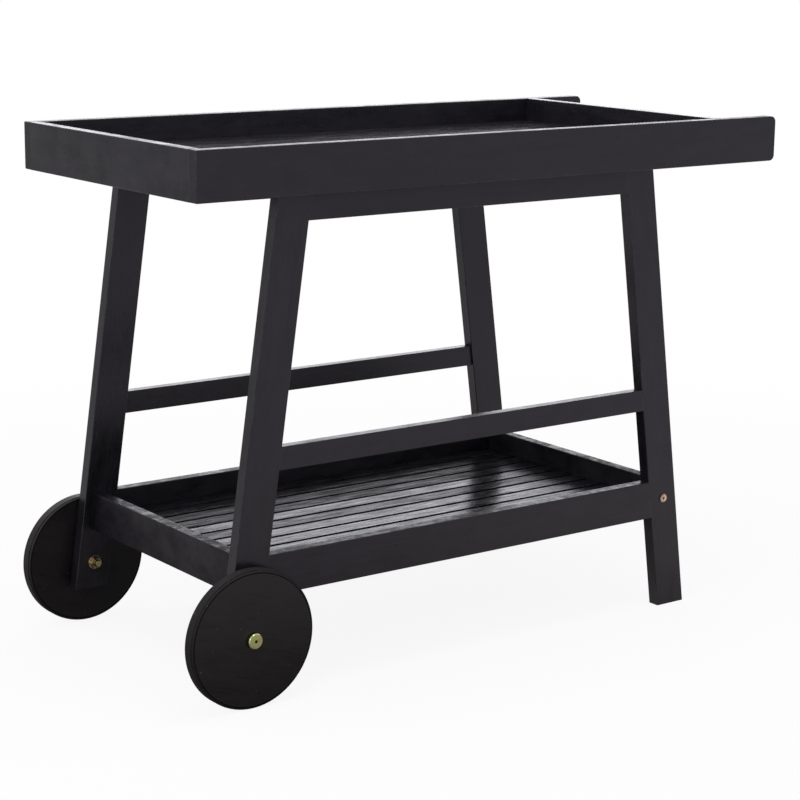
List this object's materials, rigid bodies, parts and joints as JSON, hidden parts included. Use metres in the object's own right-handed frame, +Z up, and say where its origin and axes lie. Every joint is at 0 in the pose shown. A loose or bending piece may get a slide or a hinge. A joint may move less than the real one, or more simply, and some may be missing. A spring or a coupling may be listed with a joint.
{
  "type": "bar cart on wheels",
  "caption": "Slatted black wooden serving cart: deep tray with handle rails over splayed legs, lower slatted shelf, and solid disc wheels at one end.",
  "frame": {"origin": "middle of the overall box, on the floor", "axes": "+X along the length towards the handle ends, -Y the front side, +Z up"},
  "size_m": [1.1858, 0.5612, 0.85],
  "materials": {
    "black_wood": "black stain, satin",
    "wheel_wood": "black stain, satin, scuffed",
    "yellow_zinc": "yellow zinc plate",
    "bright_zinc": "zinc plate"
  },
  "bodies": {
    "cart": {"apron_back": "black_wood", "apron_front": "black_wood", "axle_bolt_back": "yellow_zinc", "axle_bolt_front": "yellow_zinc", "barrel_nuts": "bright_zinc", "connector_bolts": "yellow_zinc", "head_washer_back": "yellow_zinc", "head_washer_front": "yellow_zinc", "leg_back_left": "black_wood", "leg_back_right": "black_wood", "leg_front_left": "black_wood", "leg_front_right": "black_wood", "lock_nut_back": "yellow_zinc", "lock_nut_front": "yellow_zinc", "nut_washer_back": "yellow_zinc", "nut_washer_front": "yellow_zinc", "shelf_batten_1": "black_wood", "shelf_batten_2": "black_wood", "shelf_batten_3": "black_wood", "shelf_batten_4": "black_wood", "shelf_end_board_left": "black_wood", "shelf_end_board_right": "black_wood", "shelf_rail_back": "black_wood", "shelf_rail_front": "black_wood", "shelf_slat_1": "black_wood", "shelf_slat_10": "black_wood", "shelf_slat_11": "black_wood", "shelf_slat_2": "black_wood", "shelf_slat_3": "black_wood", "shelf_slat_4": "black_wood", "shelf_slat_5": "black_wood", "shelf_slat_6": "black_wood", "shelf_slat_7": "black_wood", "shelf_slat_8": "black_wood", "shelf_slat_9": "black_wood", "stretcher_back": "black_wood", "stretcher_front": "black_wood", "tray_batten_1": "black_wood", "tray_batten_2": "black_wood", "tray_batten_3": "black_wood", "tray_batten_4": "black_wood", "tray_batten_5": "black_wood", "tray_board_1": "black_wood", "tray_board_2": "black_wood", "tray_board_3": "black_wood", "tray_board_4": "black_wood", "tray_board_5": "black_wood", "tray_board_6": "black_wood", "tray_board_7": "black_wood", "tray_end_board_left": "black_wood", "tray_end_board_right": "black_wood", "tray_rail_back": "black_wood", "tray_rail_front": "black_wood", "wheel_spacer_back": "yellow_zinc", "wheel_spacer_front": "yellow_zinc"},
    "front_wheel": {"wheel_front": "wheel_wood"},
    "back_wheel": {"wheel_back": "wheel_wood"}
  },
  "joints": [
    {"name": "front_wheel_spin", "type": "hinge", "parent": "cart", "child": "front_wheel", "pos_m": [-0.48392, -0.2623, 0.109], "axis": [0, 1, 0], "continuous": true},
    {"name": "back_wheel_spin", "type": "hinge", "parent": "cart", "child": "back_wheel", "pos_m": [-0.48392, 0.2623, 0.109], "axis": [0, 1, 0], "continuous": true}
  ]
}
